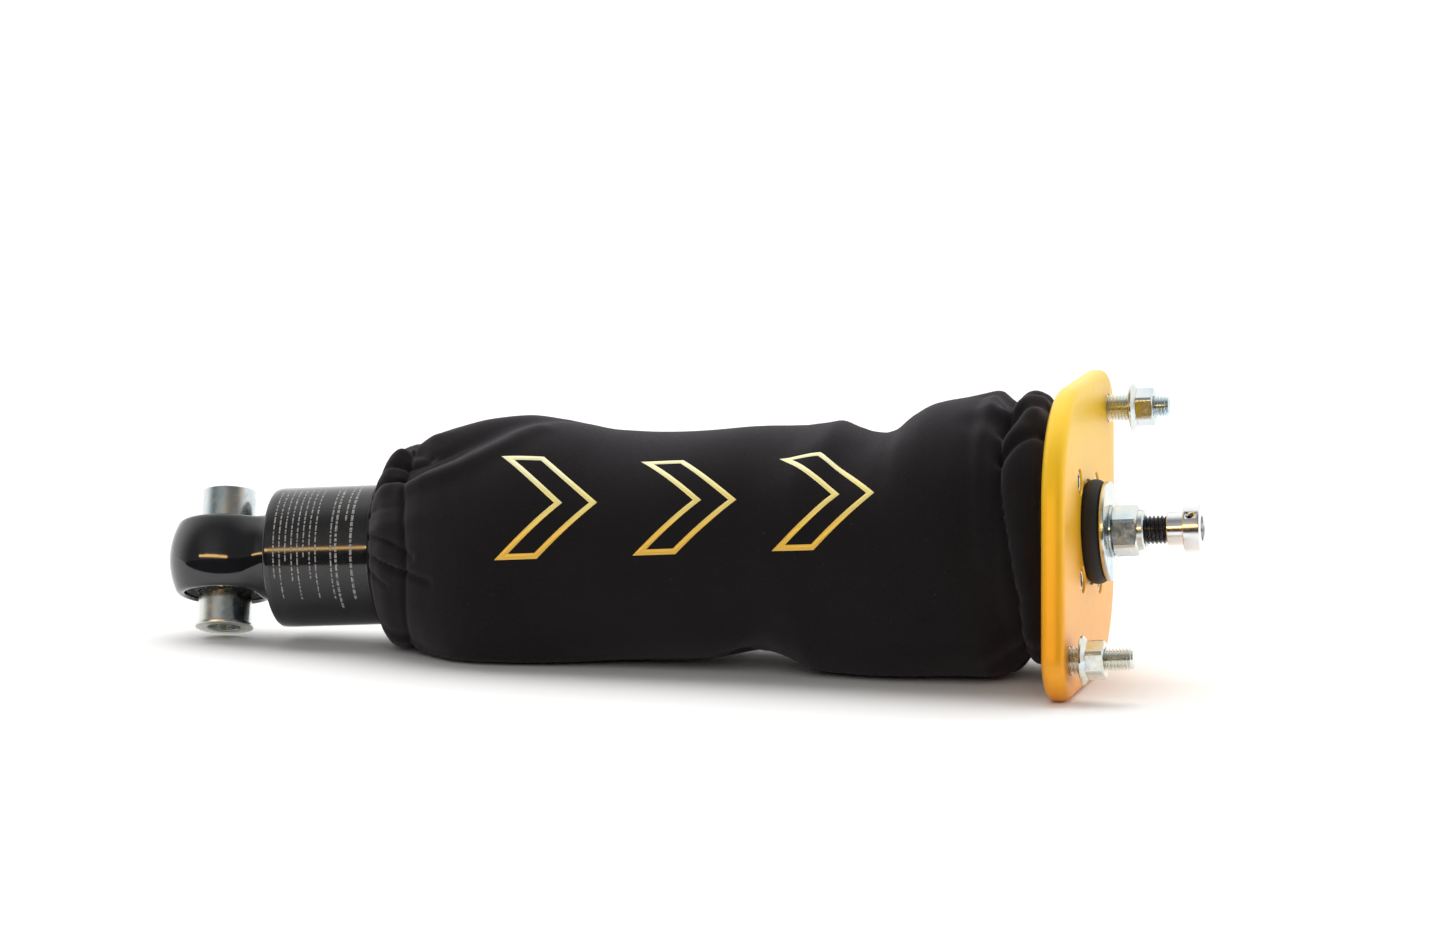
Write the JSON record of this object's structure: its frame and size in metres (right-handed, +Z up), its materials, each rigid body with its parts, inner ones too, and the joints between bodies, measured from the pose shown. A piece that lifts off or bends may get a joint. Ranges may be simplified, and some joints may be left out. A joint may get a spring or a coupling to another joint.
{
  "type": "coilover",
  "caption": "Adjustable coilover: monotube damper and coil spring inside a gathered cloth sleeve, sleeved eye below, two-stud rubber-bushed plate on top.",
  "frame": {"origin": "centre of the bolt sleeve in the lower eye", "axes": "+X along the damper's axis from the lower eye to the top plate, +Z up as it lies on the ground"},
  "size_m": [0.3955, 0.1374, 0.108],
  "materials": {
    "bracket_paint": "gloss",
    "gold_anodised": "satin anodised",
    "black_anodised": "satin anodised",
    "bare_aluminium": "machined",
    "zinc_steel": "zinc plated",
    "chromed_rod": "hard chromed",
    "shim_steel": "ground",
    "spring_coat": "powder coat",
    "black_rubber": "matte",
    "bump_foam": "cellular polyurethane",
    "boot_plastic": "matte",
    "bearing_plastic": "smooth",
    "label_film": "gloss film",
    "neoprene": "knit-faced neoprene",
    "elastic_cord": "braided elastic"
  },
  "bodies": {
    "lower_mount": {"lower_bracket": "bracket_paint", "eye_bush": "black_rubber", "cup_label": "label_film"},
    "bolt_sleeve": {"eye_sleeve": "zinc_steel"},
    "damper_body": {"damper_tube": "black_anodised", "tube_end_cap": "bare_aluminium", "gas_fill_screw": "zinc_steel", "rod_guide": "bare_aluminium", "guide_bush": "bearing_plastic", "rod_seal": "black_rubber", "gland_nut": "gold_anodised", "wiper_seal": "black_rubber", "cover": "neoprene", "lower_cover_elastic": "elastic_cord"},
    "bracket_ring": {"bracket_lock_ring": "gold_anodised"},
    "perch": {"spring_perch": "gold_anodised", "perch_lock_ring": "gold_anodised", "coil_spring": "spring_coat"},
    "gas_piston": {"floating_piston": "bare_aluminium", "floating_piston_seal": "black_rubber"},
    "rod": {"piston_rod": "chromed_rod", "main_piston": "bare_aluminium", "piston_band": "bearing_plastic", "compression_shims": "shim_steel", "rebound_shims": "shim_steel", "piston_nut": "zinc_steel", "topout_ring": "bearing_plastic", "bump_stop": "bump_foam", "dust_boot": "boot_plastic", "bush_spacer": "zinc_steel", "lower_washer": "zinc_steel", "upper_washer": "zinc_steel", "rod_nut": "zinc_steel"},
    "rubbers": {"lower_mount_rubber": "black_rubber", "upper_mount_rubber": "black_rubber"},
    "top_mount": {"top_plate": "gold_anodised", "upper_spring_seat": "black_anodised", "seat_screws": "zinc_steel", "mount_studs": "zinc_steel", "stud_nuts": "zinc_steel", "upper_cover_elastic": "elastic_cord"},
    "adjuster": {"adjuster_knob": "bare_aluminium", "knob_set_screw": "shim_steel", "adjuster_needle": "shim_steel"}
  },
  "joints": [
    {"name": "sleeve_twist", "type": "hinge", "parent": "lower_mount", "child": "bolt_sleeve", "pos_m": [0, 0, 0], "axis": [0, -0.3584, -0.9336], "range_deg": [-15, 15], "stiffness_Nm_per_rad": 0.5},
    {"name": "ride_height", "type": "slide", "parent": "lower_mount", "child": "damper_body", "axis": [1, 0, 0], "range_m": [-0.004, 0.012]},
    {"name": "bracket_ring_backoff", "type": "slide", "parent": "lower_mount", "child": "bracket_ring", "axis": [1, 0, 0], "range_m": [0, 0.014]},
    {"name": "preload", "type": "slide", "parent": "damper_body", "child": "perch", "axis": [1, 0, 0], "range_m": [-0.008, 0.01], "deforming": ["coil_spring", "cover"]},
    {"name": "stroke", "type": "slide", "parent": "damper_body", "child": "rod", "axis": [-1, 0, 0], "range_m": [0, 0.08], "stiffness_N_per_m": 30000, "springref_m": -0.004, "deforming": ["coil_spring", "cover", "bump_stop"]},
    {"name": "gas_piston_travel", "type": "slide", "parent": "damper_body", "child": "gas_piston", "axis": [-1, 0, 0], "range_m": [0, 0.00781]},
    {"name": "mount_twist", "type": "hinge", "parent": "rod", "child": "rubbers", "pos_m": [0.327, 0, 0], "axis": [1, 0, 0], "range_deg": [-10, 10], "stiffness_Nm_per_rad": 20, "deforming": ["lower_mount_rubber", "upper_mount_rubber"]},
    {"name": "mount_tilt", "type": "hinge", "parent": "rubbers", "child": "top_mount", "pos_m": [0.327, 0, 0], "axis": [0, -0.3584, -0.9336], "range_deg": [-2.5, 2.5], "stiffness_Nm_per_rad": 40, "deforming": ["lower_mount_rubber", "upper_mount_rubber", "coil_spring", "cover"]},
    {"name": "rebound_adjust", "type": "hinge", "parent": "rod", "child": "adjuster", "pos_m": [0.37, 0, 0], "axis": [1, 0, 0], "range_deg": [-360, 360]}
  ],
  "couplings": [
    {"joint": "gas_piston_travel", "follows": "stroke", "ratio": 0.097656}
  ]
}
